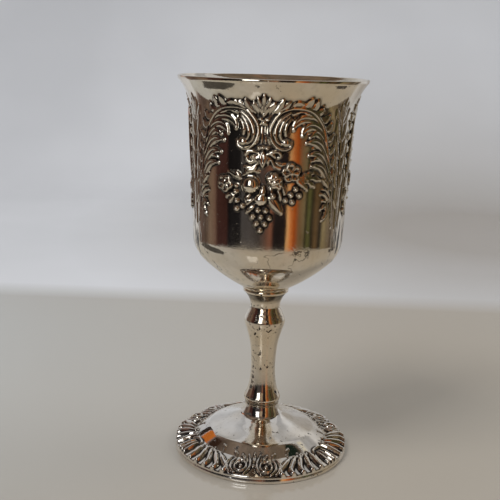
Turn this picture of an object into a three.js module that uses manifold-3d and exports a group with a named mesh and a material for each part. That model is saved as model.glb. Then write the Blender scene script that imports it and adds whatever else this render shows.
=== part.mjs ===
// A kiddush cup: a silver-plated goblet of three soldered pieces.
// The bowl is a thin chased shell, the stem a turned baluster, and the foot a hollow dish with
// a cast border. Millimetres, +Z up, origin at the centre of the underside of the foot.
import * as THREE from 'three';
import { mergeVertices } from 'three/addons/utils/BufferGeometryUtils.js';
import Module from 'manifold-3d';

const wasm = await Module();
wasm.setup();

// Driving dimensions
const HEIGHT = 162;
const RIM_RADIUS = 39.1;
const FOOT_RADIUS = 38;
const FOOT_SEAM = 20; // the stem stands on the foot at this height
const BOWL_SEAM = 73; // the bowl stands on the stem at this height
const SEAM_RADIUS_LOW = 7.1;
const SEAM_RADIUS_HIGH = 9.8;

const BOWL_WALL = 1; // thickness of the shell
const BOTTOM_BEND = 78.5; // the bowl's outline bends with these radii from the stem to the lip
const BELLY_BEND = 14;
const LIP_BEND = 22.9;
const BOTTOM_HEADINGS = [28.7, 43.4]; // and turns through these headings, in degrees
const WALL_HEADING = 88.1;
const LIP_HEADING = 49;
const WALL_HEIGHT = 50.5; // the wall between the belly and the lip

const FOOT_WALL = 1.3;
const FOOT_BAND = 3; // height of the plain band at the edge of the foot
const SOLE_WIDTH = 2.6; // the flat ring that the cup stands on
const BORDER_INNER_RADIUS = 28;
const BORDER_INNER_HEIGHT = 6.3;

const PANELS = 3; // the ornament repeats this often round the cup
const FIRST_PANEL = THREE.MathUtils.degToRad(-4.5);
const PANEL_TURN = (2 * Math.PI) / PANELS;
const RELIEF_RADIUS = 33; // distances round the wall and the border are measured here
const SUNK = 0.3; // how far a piece of relief reaches into the metal below it

const BOWL_COLUMNS = 36;
const STEM_COLUMNS = 18;
const FOOT_COLUMNS = 36;

// Outlines

// Follows an outline in the radius and height plane. A heading of 0 points outwards and 90 up.
function outlineFrom(radius, height, heading) {
  const points = [new THREE.Vector2(radius, height)];
  const pen = { radius, height, heading };
  const mark = () => points.push(new THREE.Vector2(pen.radius, pen.height));
  const run = (length) => {
    const angle = THREE.MathUtils.degToRad(pen.heading);
    pen.radius += length * Math.cos(angle);
    pen.height += length * Math.sin(angle);
    mark();
  };
  const bend = (bendRadius, toHeading, steps) => {
    const turn = THREE.MathUtils.degToRad(toHeading - pen.heading) / steps;
    const chord = 2 * bendRadius * Math.sin(Math.abs(turn) / 2);
    for (let step = 0; step < steps; step += 1) {
      const angle = THREE.MathUtils.degToRad(pen.heading) + turn / 2;
      pen.radius += chord * Math.cos(angle);
      pen.height += chord * Math.sin(angle);
      pen.heading += THREE.MathUtils.radToDeg(turn);
      mark();
    }
  };
  return { points, run, bend };
}

// The radius of an outline at a height.
function radiusAt(outline, height) {
  const next = outline.findIndex((point) => point.y > height);
  if (next < 1) return next === 0 ? outline[0].x : outline[outline.length - 1].x;
  const [low, high] = [outline[next - 1], outline[next]];
  return low.x + ((high.x - low.x) * (height - low.y)) / (high.y - low.y);
}

// Solids

function solidFrom(points, faces) {
  return new wasm.Manifold(
    new wasm.Mesh({
      numProp: 3,
      vertProperties: new Float32Array(points.flat()),
      triVerts: new Uint32Array(faces.flat()),
    }),
  );
}

function turned(outline, columns) {
  const lathe = new THREE.LatheGeometry(outline, columns).rotateX(Math.PI / 2);
  lathe.deleteAttribute('normal');
  lathe.deleteAttribute('uv');
  const merged = mergeVertices(lathe);
  const corners = merged.index.array;
  const faces = [];
  for (let first = 0; first < corners.length; first += 3) {
    const [a, b, c] = corners.slice(first, first + 3);
    if (a !== b && b !== c && c !== a) faces.push([a, b, c]);
  }
  return solidFrom([Array.from(merged.attributes.position.array)], faces);
}

function joined(base, pieces) {
  return pieces.reduce((whole, piece) => whole.add(piece), base);
}

function meshOf(name, solid, material) {
  const { vertProperties, triVerts } = solid.getMesh();
  const geometry = new THREE.BufferGeometry();
  geometry.setAttribute('position', new THREE.BufferAttribute(vertProperties, 3));
  geometry.setIndex(new THREE.BufferAttribute(triVerts, 1));
  geometry.computeVertexNormals();
  const mesh = new THREE.Mesh(geometry, material);
  mesh.name = name;
  return mesh;
}

// Pieces of relief. A surface turns (along, across, out) into a point of the cup: along runs
// round the cup, across runs up the wall or inwards over the border, and out is the height above it.

// A closed mound: an outline sunk in the surface, rings above it and one top point.
function mound(surface, rings, top) {
  const sides = rings[0].length;
  const middle = rings[0].reduce((sum, point) => sum.map((value, i) => value + point[i] / sides), [0, 0, 0]);
  const points = [...rings.flat(), top, middle].map((point) => surface(...point));
  const topIndex = rings.length * sides;
  const faces = [];
  for (let side = 0; side < sides; side += 1) {
    const next = (side + 1) % sides;
    faces.push([next, side, topIndex + 1]);
    for (let ring = 0; ring < rings.length - 1; ring += 1) {
      const [low, high] = [ring * sides, (ring + 1) * sides];
      faces.push([low + side, low + next, high + next], [low + side, high + next, high + side]);
    }
    const last = (rings.length - 1) * sides;
    faces.push([last + side, last + next, topIndex]);
  }
  return solidFrom(points, faces);
}

function ringAbout([along, across], radius, out, sides, lobe = 1) {
  return Array.from({ length: sides }, (_, side) => {
    const angle = (2 * Math.PI * side) / sides + Math.PI / 2;
    const reach = side % 2 ? radius * lobe : radius;
    return [along + reach * Math.cos(angle), across + reach * Math.sin(angle), out];
  });
}

// A round fruit or bead.
function bead(surface, at, radius, height, sides) {
  const rings = [ringAbout(at, radius, -SUNK, sides), ringAbout(at, radius * 0.74, height * 0.66, sides)];
  return mound(surface, rings, [...at, height]);
}

// A single grape, small enough to be a plain point.
function grape(surface, at) {
  return mound(surface, [ringAbout(at, GRAPE_RADIUS * 1.25, -SUNK, 5)], [...at, GRAPE_HEIGHT]);
}

// An open flower: a ring of petals round a bud.
function flower(surface, at, radius, height) {
  const sides = 10;
  const rings = [ringAbout(at, radius, -SUNK, sides, 0.72), ringAbout(at, radius * 0.6, height, sides, 0.72)];
  return mound(surface, rings, [...at, height * 0.5]);
}

// A pointed leaf from its stalk to its tip, with a raised middle.
function leaf(surface, from, to, width, height) {
  const step = new THREE.Vector2(to[0] - from[0], to[1] - from[1]);
  const side = new THREE.Vector2(-step.y, step.x).setLength(width / 2);
  const widest = [from[0] + step.x * 0.42, from[1] + step.y * 0.42];
  const ring = [
    [...from, -SUNK],
    [widest[0] - side.x, widest[1] - side.y, -SUNK],
    [...to, -SUNK],
    [widest[0] + side.x, widest[1] + side.y, -SUNK],
  ];
  return mound(surface, [ring], [...widest, height]);
}

// A rounded rib along a path, thin at both ends.
function rib(surface, path, width, height) {
  const curve = new THREE.CatmullRomCurve3(path.map(([along, across]) => new THREE.Vector3(along, across, 0)));
  const steps = path.length;
  const points = [];
  for (let step = 0; step <= steps; step += 1) {
    const share = step / steps;
    const at = curve.getPoint(share);
    const way = curve.getTangent(share);
    const swell = 0.45 + 0.55 * Math.sin(Math.PI * share);
    const reach = (width / 2) * swell;
    points.push([at.x - way.y * reach, at.y + way.x * reach, -SUNK]);
    points.push([at.x, at.y, height * swell]);
    points.push([at.x + way.y * reach, at.y - way.x * reach, -SUNK]);
  }
  const faces = [[2, 1, 0]];
  for (let step = 0; step < steps; step += 1) {
    const [left, crest, right] = [step * 3, step * 3 + 1, step * 3 + 2];
    for (const [a, b] of [[right, crest], [crest, left], [left, right]]) {
      faces.push([a, a + 3, b + 3], [a, b + 3, b]);
    }
  }
  faces.push([steps * 3, steps * 3 + 1, steps * 3 + 2]);
  return solidFrom(points.map((point) => surface(...point)), faces);
}

// The bowl

function outerWall() {
  const outline = outlineFrom(SEAM_RADIUS_HIGH + 1.3, BOWL_SEAM + 1.5, BOTTOM_HEADINGS[0]);
  outline.bend(BOTTOM_BEND, BOTTOM_HEADINGS[1], 2);
  outline.bend(BELLY_BEND, WALL_HEADING, 3);
  outline.run(WALL_HEIGHT);
  outline.bend(LIP_BEND, LIP_HEADING, 3);
  return outline.points;
}

function innerWall() {
  const outline = outlineFrom(SEAM_RADIUS_HIGH + 0.8, BOWL_SEAM + 2.4, BOTTOM_HEADINGS[0]);
  outline.bend(BOTTOM_BEND - BOWL_WALL, BOTTOM_HEADINGS[1], 1);
  outline.bend(BELLY_BEND - BOWL_WALL, WALL_HEADING, 2);
  outline.run(WALL_HEIGHT);
  outline.bend(LIP_BEND + BOWL_WALL, LIP_HEADING, 2);
  return outline.points;
}

function bowlShell() {
  const floor = new THREE.Vector2(0, BOWL_SEAM + 2);
  const rim = [new THREE.Vector2(RIM_RADIUS, HEIGHT - 0.6), new THREE.Vector2(RIM_RADIUS - 0.6, HEIGHT)];
  const boss = [new THREE.Vector2(0, BOWL_SEAM), new THREE.Vector2(SEAM_RADIUS_HIGH + 0.2, BOWL_SEAM)];
  return turned([...boss, ...outerWall(), ...rim, ...innerWall().reverse(), floor], BOWL_COLUMNS);
}

// The wall's surface, with along measured from the middle of a panel.
function wallOf(panel) {
  const outline = outerWall();
  return (along, across, out) => {
    const angle = FIRST_PANEL + panel * PANEL_TURN + along / RELIEF_RADIUS;
    const radius = radiusAt(outline, across) + out;
    return [radius * Math.sin(angle), -radius * Math.cos(angle), across];
  };
}

const FRUIT_TOP = 128;
const GRAPE_RADIUS = 1.3;
const GRAPE_HEIGHT = 1.1;
const GRAPE_STEP = 3.3;
const GRAPE_ROW = 2.7;

// A hanging bunch of grapes, given by the number in each row.
function bunch(surface, [along, across], rows) {
  return rows.flatMap((count, row) =>
    Array.from({ length: count }, (_, place) => {
      const at = [along + (place - (count - 1) / 2) * GRAPE_STEP, across - row * GRAPE_ROW];
      return grape(surface, at);
    }),
  );
}

function fruit(surface) {
  return [
    bead(surface, [-4.8, FRUIT_TOP - 6], 3.1, 1.7, 6),
    bead(surface, [4.5, FRUIT_TOP - 4.2], 3.2, 1.5, 6),
    bead(surface, [-0.4, FRUIT_TOP - 11.5], 2.7, 1.6, 6),
    leaf(surface, [-0.4, FRUIT_TOP - 13], [0.4, FRUIT_TOP - 5.4], 3, 1.4),
    flower(surface, [11, FRUIT_TOP - 0.8], 3.6, 1.2),
    flower(surface, [-15.7, FRUIT_TOP - 6.2], 3.1, 1.1),
    leaf(surface, [2.6, FRUIT_TOP - 11.6], [7.8, FRUIT_TOP - 16.5], 3, 0.8),
    leaf(surface, [-7, FRUIT_TOP - 16.2], [-3, FRUIT_TOP - 12.2], 2, 0.9),
    grape(surface, [4, FRUIT_TOP - 9.9]),
    ...bunch(surface, [-0.2, FRUIT_TOP - 15.6], [2, 3, 2, 1]),
    ...bunch(surface, [-10.4, FRUIT_TOP - 7.4], [1, 1, 1, 2]),
    ...bunch(surface, [12.2, FRUIT_TOP - 7.4], [1, 2, 2]),
  ];
}

// Leaves that spread like fingers from one stalk.
function spray(surface, from, headings, length, width, height) {
  return headings.map((heading) => {
    const angle = THREE.MathUtils.degToRad(heading);
    const to = [from[0] + length * Math.cos(angle), from[1] + length * Math.sin(angle)];
    return leaf(surface, from, to, width, height);
  });
}

const CREST_HEIGHT = 147.5;

function crestAndHusk(surface) {
  return [
    ...spray(surface, [0, CREST_HEIGHT], [90, 68, 112, 46, 134], 8.4, 2.2, 1),
    bead(surface, [0, CREST_HEIGHT - 1.2], 1.9, 1.2, 5),
    leaf(surface, [0, CREST_HEIGHT - 12], [0, CREST_HEIGHT - 1.5], 3.4, 0.8),
    ...spray(surface, [0, CREST_HEIGHT - 13], [180, 0, 225, 315], 6, 2.4, 0.9),
    leaf(surface, [0, CREST_HEIGHT - 12], [-0.3, CREST_HEIGHT - 18.3], 3, 1),
  ];
}

// One half of a panel's frame. A side of 1 is the right half and -1 the left.
function frameHalf(surface, side) {
  const mirrored = ([along, across]) => [along * side, across];
  const ribAt = (path, width, height) => rib(surface, path.map(mirrored), width, height);
  const leafAt = (from, to, width, height = 0.8) => leaf(surface, mirrored(from), mirrored(to), width, height);
  const scroll = [[7.6, 151], [3.4, 148], [1.9, 143.6], [3, 139], [6.6, 136.3], [10, 137.4], [9.6, 140.4]];
  const arch = [[8.4, 150], [13.8, 151.4], [20, 149], [24.2, 142.4], [26.6, 132], [28.8, 121.6]];
  return [
    ribAt(scroll, 1.9, 1.1),
    ribAt([[5.8, 149], [4, 145.6], [4.2, 142], [6.4, 140.2]], 1.8, 0.8),
    ribAt(arch, 1.7, 1),
    leafAt([22, 146], [11, 144], 3.4),
    leafAt([25.4, 137.6], [16.4, 139.6], 3.4),
    leafAt([27.4, 128], [17.8, 134], 3.2),
    leafAt([14.6, 152], [20.4, 155], 3.2),
    leafAt([21.8, 149], [27, 151.6], 3.2),
    ribAt([[24.2, 118.4], [27.2, 119.8], [29.6, 115]], 1.6, 0.8),
    leafAt([28.6, 115], [25.4, 107.6], 3),
  ];
}

// The foliage that fills the wall between one frame and the next.
function foliage(surface) {
  const middle = (PANEL_TURN * RELIEF_RADIUS) / 2;
  const tiers = 3;
  const tierStep = 9;
  return Array.from({ length: tiers }, (_, tier) => {
    const across = 146 - tier * tierStep;
    const from = [middle, across - tierStep * 0.6];
    return [-1, 1].map((side) => leaf(surface, from, [middle + side * 4.4, across + 2], 3, 0.8));
  }).flat();
}

function bowl() {
  const relief = [];
  for (let panel = 0; panel < PANELS; panel += 1) {
    const surface = wallOf(panel);
    const spraySide = spray(surface, [15, 124.6], [28, -6, -40], 7.5, 2.4, 0.8);
    const halves = [...frameHalf(surface, 1), ...frameHalf(surface, -1)];
    relief.push(...fruit(surface), ...crestAndHusk(surface), ...halves, ...foliage(surface), ...spraySide);
  }
  return joined(bowlShell(), relief);
}

// The stem: a baluster with a collar under the bowl, a knop, a long waist and a bulb on the foot.
function stem() {
  const collar = SEAM_RADIUS_HIGH;
  const knop = 8.85;
  const waist = 5.3;
  const bulb = 7.9;
  const cove = new THREE.SplineCurve([
    new THREE.Vector2(SEAM_RADIUS_LOW, FOOT_SEAM + 1),
    new THREE.Vector2(bulb, FOOT_SEAM + 3.2),
    new THREE.Vector2(6.5, FOOT_SEAM + 7),
    new THREE.Vector2(5.6, FOOT_SEAM + 12),
    new THREE.Vector2(waist, FOOT_SEAM + 19),
    new THREE.Vector2(6, FOOT_SEAM + 27.5),
    new THREE.Vector2(7.6, FOOT_SEAM + 34),
    new THREE.Vector2(knop, FOOT_SEAM + 38.5),
    new THREE.Vector2(7.6, FOOT_SEAM + 42),
    new THREE.Vector2(6.35, FOOT_SEAM + 45),
    new THREE.Vector2(7.2, FOOT_SEAM + 48.5),
    new THREE.Vector2(collar - 0.7, BOWL_SEAM - 1.6),
  ]);
  const outline = [
    new THREE.Vector2(0, FOOT_SEAM),
    new THREE.Vector2(SEAM_RADIUS_LOW, FOOT_SEAM),
    ...cove.getPoints(15),
    new THREE.Vector2(collar, BOWL_SEAM - 1),
    new THREE.Vector2(collar, BOWL_SEAM),
    new THREE.Vector2(0, BOWL_SEAM),
  ];
  return turned(outline, STEM_COLUMNS);
}

// The foot

// The foot rises from its border by a steep shoulder and a flatter dome to an upright neck.
const DOME_SHOULDER = new THREE.Vector2(22.6, 10.1);
const DOME_TOP = new THREE.Vector2(11, 14.2);

// The foot's outline from its neck down to the border. Lowered by its wall it is the hollow's roof.
function domeOutline(drop) {
  const outline = [
    new THREE.Vector2(SEAM_RADIUS_LOW, FOOT_SEAM),
    new THREE.Vector2(7.3, 17.6),
    new THREE.Vector2(8.6, 15.6),
    DOME_TOP,
    DOME_SHOULDER,
    new THREE.Vector2(BORDER_INNER_RADIUS, BORDER_INNER_HEIGHT),
  ];
  return outline.map((point) => new THREE.Vector2(point.x, point.y - drop));
}

function footShell() {
  const band = FOOT_BAND;
  const outline = [
    new THREE.Vector2(0, FOOT_SEAM),
    ...domeOutline(0),
    new THREE.Vector2(FOOT_RADIUS - 0.7, band + 0.3),
    new THREE.Vector2(FOOT_RADIUS, band - 0.4),
    new THREE.Vector2(FOOT_RADIUS, 0),
    new THREE.Vector2(FOOT_RADIUS - SOLE_WIDTH, 0),
    new THREE.Vector2(FOOT_RADIUS - SOLE_WIDTH - 0.4, band - FOOT_WALL + 0.7),
    ...domeOutline(FOOT_WALL).reverse().filter((point) => point.x > 9),
    new THREE.Vector2(SEAM_RADIUS_LOW - FOOT_WALL - 0.2, FOOT_SEAM - 4),
    new THREE.Vector2(0, FOOT_SEAM - FOOT_WALL * 1.4),
  ];
  return turned(outline.reverse(), FOOT_COLUMNS);
}

// The border's surface, with across measured inwards from the edge of the foot.
function borderOf(panel) {
  const width = FOOT_RADIUS - BORDER_INNER_RADIUS;
  return (along, across, out) => {
    const angle = FIRST_PANEL + panel * PANEL_TURN + along / RELIEF_RADIUS;
    const radius = FOOT_RADIUS - across;
    const height = FOOT_BAND + ((BORDER_INNER_HEIGHT - FOOT_BAND) * across) / width + out;
    return [radius * Math.sin(angle), -radius * Math.cos(angle), height];
  };
}

// One half of a panel of the border: a rose, a curled tip and a row of swept flutes.
function borderHalf(surface, side) {
  const rose = 5.2;
  const flutes = 7;
  const firstFlute = 11.8;
  const fluteStep = 3.4;
  const pieces = [flower(surface, [side * rose, 4.7], 2.6, 1)];
  pieces.push(leaf(surface, [side * 4, 8.2], [side * 1.6, 12.6], 1.8, 0.8));
  for (let flute = 0; flute < flutes; flute += 1) {
    const along = firstFlute + flute * fluteStep;
    const lean = 2.4 * (1 - flute / flutes);
    pieces.push(leaf(surface, [side * (along - lean), 0.9], [side * (along + lean), 9.6], 2.8, 1));
  }
  return pieces;
}

function foot() {
  const relief = [];
  for (let panel = 0; panel < PANELS; panel += 1) {
    const surface = borderOf(panel);
    relief.push(leaf(surface, [0, 5.6], [0, 10], 2.4, 0.9));
    relief.push(...borderHalf(surface, 1), ...borderHalf(surface, -1));
  }
  return joined(footShell(), relief);
}

// Silver plate, a little yellower where it is worn.
function silver(colour, roughness) {
  return new THREE.MeshStandardMaterial({ color: colour, roughness, metalness: 1 });
}

const cup = new THREE.Group();
cup.add(meshOf('bowl', bowl(), silver(0xc9c2b6, 0.18)));
cup.add(meshOf('stem', stem(), silver(0xcdc5b4, 0.2)));
cup.add(meshOf('foot', foot(), silver(0xc7c1b7, 0.2)));

export default cup;
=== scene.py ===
"""A silver-plated kiddush cup with chased panels of fruit, scrolls and leaves, on a pale studio floor."""

import math

import bpy
import numpy as np
from mathutils import Matrix, Vector


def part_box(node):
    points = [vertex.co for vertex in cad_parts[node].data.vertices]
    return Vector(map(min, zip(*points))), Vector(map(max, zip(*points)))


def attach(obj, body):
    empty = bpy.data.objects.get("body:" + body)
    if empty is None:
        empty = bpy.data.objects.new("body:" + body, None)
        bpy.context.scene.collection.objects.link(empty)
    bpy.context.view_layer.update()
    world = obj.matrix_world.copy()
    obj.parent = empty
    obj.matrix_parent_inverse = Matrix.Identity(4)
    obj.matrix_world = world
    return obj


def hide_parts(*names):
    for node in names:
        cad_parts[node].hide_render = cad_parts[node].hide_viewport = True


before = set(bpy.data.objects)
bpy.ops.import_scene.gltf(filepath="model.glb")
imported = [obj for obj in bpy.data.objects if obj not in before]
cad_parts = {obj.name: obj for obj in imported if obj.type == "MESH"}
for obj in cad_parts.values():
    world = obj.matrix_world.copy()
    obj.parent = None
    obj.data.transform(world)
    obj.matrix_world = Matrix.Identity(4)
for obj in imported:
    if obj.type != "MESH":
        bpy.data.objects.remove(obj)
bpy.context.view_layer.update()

MM = 0.001

# Sizes in millimetres. The main ones come from the frame.
BOWL_LOW, BOWL_HIGH = (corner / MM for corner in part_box("bowl"))
STEM_LOW, STEM_HIGH = (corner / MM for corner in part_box("stem"))
FOOT_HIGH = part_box("foot")[1] / MM
HEIGHT = BOWL_HIGH.z
RIM_RADIUS = max(BOWL_HIGH.xy)
BOWL_SEAM = BOWL_LOW.z
FOOT_SEAM = STEM_LOW.z
FOOT_RADIUS = max(FOOT_HIGH.xy)
COLLAR_RADIUS = max(STEM_HIGH.xy)
NECK_RADIUS = 7.1

# The bowl's outline, from the collar to the lip: radii of its bends, and headings in degrees.
BOWL_WALL = 1.0
BOTTOM_BEND = 78.5
BELLY_BEND = 14.0
LIP_BEND = 22.9
BOTTOM_HEADINGS = (28.7, 43.4)
WALL_HEADING = 88.1
LIP_HEADING = 49.0
WALL_HEIGHT = 50.5

FOOT_WALL = 1.3
FOOT_BAND = 3.0  # the plain band round its edge
SOLE_WIDTH = 2.6  # the flat ring that the cup stands on
BORDER_INNER_RADIUS = 28.0
BORDER_INNER_HEIGHT = 6.3

# The chasing repeats with each panel, and is drawn on a flat band one repeat long.
PANELS = 3
FIRST_PANEL = math.radians(-4.5)  # the middle of the panel in front, right of the camera
RELIEF_RADIUS = 33.0
REPEAT = 2 * math.pi * RELIEF_RADIUS / PANELS
WALL_RELIEF = (97.6, 156.8)  # heights on the bowl
BORDER_RELIEF = (0.0, 15.0)  # inwards from the foot's edge
OVERSAMPLE = 3

# How the chasing is tarnished and darkened with painted shade. Heights in millimetres.
GROOVE_DEPTH = 0.2  # a groove this deep is black, from tarnish and painted shade
WORKED_PAINTED_SHADE = 0.28  # painted shade all over worked metal: a darker tint for the dim room that the relief mirrors
SHADE_LIFTED_FROM = 0.8  # above this height the painted shade lifts off the relief, so its highlights stay bright
SHADE_LIFTED_WITHIN = 0.4
SHADE_LIFT = 0.85
WORKED_HEIGHT = 0.08  # relief this high counts as worked

# Each layer of the bowl's chasing is lowered before the next is laid over it.
FOLIAGE_LOWERED = 0.75
FRAMES_LOWERED = 0.84
ALL_LOWERED = 0.9
FRAME_LEAF_RISE = 1.25

# Outlines


def smooth_path(points, steps_each=8):
    """A Catmull-Rom curve through the points."""
    points = np.asarray(points, float)
    padded = np.vstack([points[:1], points, points[-1:]])
    shares = np.arange(steps_each) / steps_each
    pieces = []
    for before, start, end, after in zip(padded, padded[1:], padded[2:], padded[3:]):
        leave, arrive = (end - before) / 2, (after - start) / 2
        t = shares[:, None]
        curve = (2 * start - 2 * end + leave + arrive) * t**3
        curve += (-3 * start + 3 * end - 2 * leave - arrive) * t**2 + leave * t + start
        pieces.append(curve)
    return np.vstack(pieces + [points[-1:]])


class Outline:
    """Follows a profile in the radius and height plane. A heading of 0 points outwards and 90 up."""

    def __init__(self, radius, height, heading):
        self.at = np.array([radius, height], float)
        self.heading = math.radians(heading)
        self.points = [self.at.copy()]

    def step(self, length, heading):
        self.at = self.at + length * np.array([math.cos(heading), math.sin(heading)])
        self.points.append(self.at.copy())

    def run(self, length, steps):
        for _ in range(steps):
            self.step(length / steps, self.heading)

    def bend(self, radius, to_heading, steps):
        turn = (math.radians(to_heading) - self.heading) / steps
        for _ in range(steps):
            self.step(2 * radius * math.sin(abs(turn) / 2), self.heading + turn / 2)
            self.heading += turn


def bowl_outside():
    outline = Outline(COLLAR_RADIUS + 1.3, BOWL_SEAM + 1.5, BOTTOM_HEADINGS[0])
    outline.bend(BOTTOM_BEND, BOTTOM_HEADINGS[1], 12)
    outline.bend(BELLY_BEND, WALL_HEADING, 14)
    outline.run(WALL_HEIGHT, 60)
    outline.bend(LIP_BEND, LIP_HEADING, 18)
    return np.array(outline.points)


def bowl_inside():
    outline = Outline(COLLAR_RADIUS + 0.8, BOWL_SEAM + 2.4, BOTTOM_HEADINGS[0])
    outline.bend(BOTTOM_BEND - BOWL_WALL, BOTTOM_HEADINGS[1], 5)
    outline.bend(BELLY_BEND - BOWL_WALL, WALL_HEADING, 10)
    outline.run(WALL_HEIGHT, 4)
    outline.bend(LIP_BEND + BOWL_WALL, LIP_HEADING, 10)
    return np.array(outline.points)


def dome_outline(drop=0.0, steps_each=6):
    """The top of the foot: an upright neck, a flat dome and a steep shoulder down to the border."""
    points = [
        (NECK_RADIUS, FOOT_SEAM), (7.5, 18.6), (8.1, 17.2), (9.1, 15.8), (10.9, 14.7), (13, 13.75), (16, 12.5),
        (20, 11.1), (22.3, 10.25), (23.3, 9.7), (25, 8.5), (BORDER_INNER_RADIUS, BORDER_INNER_HEIGHT),
    ]
    return smooth_path(points, steps_each) - (0, drop)


# Raised work, as heights over one repeat of a band. u runs along the band and v across it.


def beside(path, u, v):
    """How far each point lies from a path, less than 0 on its right, and beside which share of its length."""
    nearest = np.full(u.shape, np.inf)
    share = np.zeros(u.shape)
    lengths = np.hypot(*np.diff(path, axis=0).T)
    total = lengths.sum()
    before = 0.0
    for start, end, length in zip(path, path[1:], lengths):
        way = (end - start) / length
        du, dv = u - start[0], v - start[1]
        along = np.clip(du * way[0] + dv * way[1], 0, length)
        distance = np.hypot(du - along * way[0], dv - along * way[1])
        side = np.where(dv * way[0] - du * way[1] < 0, -1, 1)
        closer = distance < np.abs(nearest)
        nearest = np.where(closer, distance * side, nearest)
        share = np.where(closer, (before + along) / total, share)
        before += length
    return nearest, share


class Chasing:
    """The heights of a band's raised work, in millimetres."""

    def __init__(self, v_range, columns, rows):
        self.columns = columns * OVERSAMPLE
        step = REPEAT / self.columns
        self.margin = round(8 / step)
        self.u = np.arange(-self.margin, self.columns + self.margin) * step - REPEAT / 2
        self.v = np.linspace(*v_range, (rows - 1) * OVERSAMPLE + 1)
        self.height = np.zeros((len(self.v), len(self.u)))

    def patch(self, points, reach):
        points = np.asarray(points, float).reshape(-1, 2)
        (u_low, v_low), (u_high, v_high) = points.min(0) - reach, points.max(0) + reach
        columns = slice(*np.searchsorted(self.u, (u_low, u_high)))
        rows = slice(*np.searchsorted(self.v, (v_low, v_high)))
        return (rows, columns), *np.meshgrid(self.u[columns], self.v[rows])

    def lift(self, where, height):
        self.height[where] = np.maximum(self.height[where], height)

    def dome(self, at, radii, height, turn=0.0):
        where, u, v = self.patch(at, max(radii))
        cos, sin = math.cos(math.radians(turn)), math.sin(math.radians(turn))
        du, dv = u - at[0], v - at[1]
        far = ((du * cos + dv * sin) / radii[0]) ** 2 + ((dv * cos - du * sin) / radii[1]) ** 2
        self.lift(where, height * np.clip(1 - far, 0, 1) ** 0.5)

    def rib(self, points, width, height, ends=(0.35, 0.35)):
        """A rounded rib, thinner at its ends."""
        path = smooth_path(points)
        where, u, v = self.patch(path, width)
        off, share = beside(path, u, v)
        swell = np.interp(share, (0, 0.3, 0.7, 1), (ends[0], 1, 1, ends[1]))
        across = off / (width / 2 * swell)
        body = np.clip(1 - across**2, 0, 1) ** 0.7 * (0.4 + 0.6 * swell)
        self.lift(where, height * body)

    def leaf(self, points, width, height, flutes=2, lobes=0, widest=0.5, tip=0.0, fold=0.45):
        """A leaf from its stalk to its tip: folds along it, notches down its sides, and a curled tip."""
        path = smooth_path(points)
        where, u, v = self.patch(path, width)
        off, share = beside(path, u, v)
        rise = 0.25 + 0.75 * np.sin(np.pi / 2 * np.clip(share / widest, 0, 1))
        fall = np.cos(np.pi / 2 * np.clip((share - widest) / (1 - widest), 0, 1)) ** 0.7
        half = width / 2 * rise * fall + 1e-6
        if lobes:
            half = half * (1 - 0.34 * np.abs(np.sin(np.pi * (lobes * share - 0.25))) ** 2)
        across = off / half
        body = np.where(np.abs(across) < 1, 0.15 + 0.85 * np.clip(1 - across**2, 0, 1) ** 0.6, 0)
        ripple = 0.5 - 0.5 * np.cos(np.pi * flutes * (across + 1))
        body = body * (1 - fold + fold * ripple)
        self.lift(where, height * body * np.interp(share, (0, 0.35, 1), (0.75, 1, 1)))
        if tip:
            self.dome(path[-1], (tip, tip), height * 1.2)

    def rosette(self, at, radius, height, petals=5, turn=0.0):
        """An open flower with cupped petals and a button in the middle."""
        for petal in range(petals):
            angle = math.radians(turn) + 2 * math.pi * petal / petals
            centre = (at[0] + 0.53 * radius * math.cos(angle), at[1] + 0.53 * radius * math.sin(angle))
            where, u, v = self.patch(centre, 0.5 * radius)
            share = np.hypot(u - centre[0], v - centre[1]) / (0.49 * radius)
            cup = 0.35 + 0.65 * np.clip(share, 0, 1) ** 3
            self.lift(where, height * cup * np.clip((1 - share) * 6, 0, 1))
        self.dome(at, (radius * 0.19, radius * 0.19), height * 0.75)

    def berry(self, at, radii, height, turn=0.0, seeds=15):
        """A bramble: a dome covered in beads set in spirals."""
        where, u, v = self.patch(at, max(radii))
        cos, sin = math.cos(math.radians(turn)), math.sin(math.radians(turn))
        du, dv = u - at[0], v - at[1]
        du, dv = (du * cos + dv * sin) / radii[0], (dv * cos - du * sin) / radii[1]
        body = 0.5 * height * np.sqrt(np.clip(1 - du**2 - dv**2, 0, 1))
        beads = np.zeros(u.shape)
        bead_radius, spread = 0.26, 0.88
        golden_angle = math.pi * (3 - math.sqrt(5))
        for seed in range(seeds):
            angle = seed * golden_angle
            out = spread * math.sqrt((seed + 0.5) / seeds)
            far = np.hypot(du - out * math.cos(angle), dv - out * math.sin(angle)) / bead_radius
            beads = np.maximum(beads, np.sqrt(np.clip(1 - far**2, 0, 1)))
        self.lift(where, np.where(du**2 + dv**2 < 1, body + 0.85 * beads, 0))

    def sampled(self):
        """Heights and darkening at the mesh's own points: black in grooves from tarnish and painted shade,
        painted shade over the worked metal, lifted off the highest work.
        """
        margin = self.margin
        height = self.height[:, margin:-margin].copy()
        height[:, :margin] = np.maximum(height[:, :margin], self.height[:, -margin:])
        height[:, -margin:] = np.maximum(height[:, -margin:], self.height[:, :margin])
        height = blurred(height, OVERSAMPLE // 2)
        low = blurred(blurred(height, OVERSAMPLE * 2), OVERSAMPLE * 2) - height
        tarnish_and_shade = np.clip(low / GROOVE_DEPTH, 0, 1)
        rows = slice(None, None, OVERSAMPLE)
        worked = blurred(np.clip(height / WORKED_HEIGHT, 0, 1), OVERSAMPLE * 2)
        # The painted shade fades out on the highest relief, leaving bright metal for its glints.
        shade_lifted = np.clip((height - SHADE_LIFTED_FROM) / SHADE_LIFTED_WITHIN, 0, 1)
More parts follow.
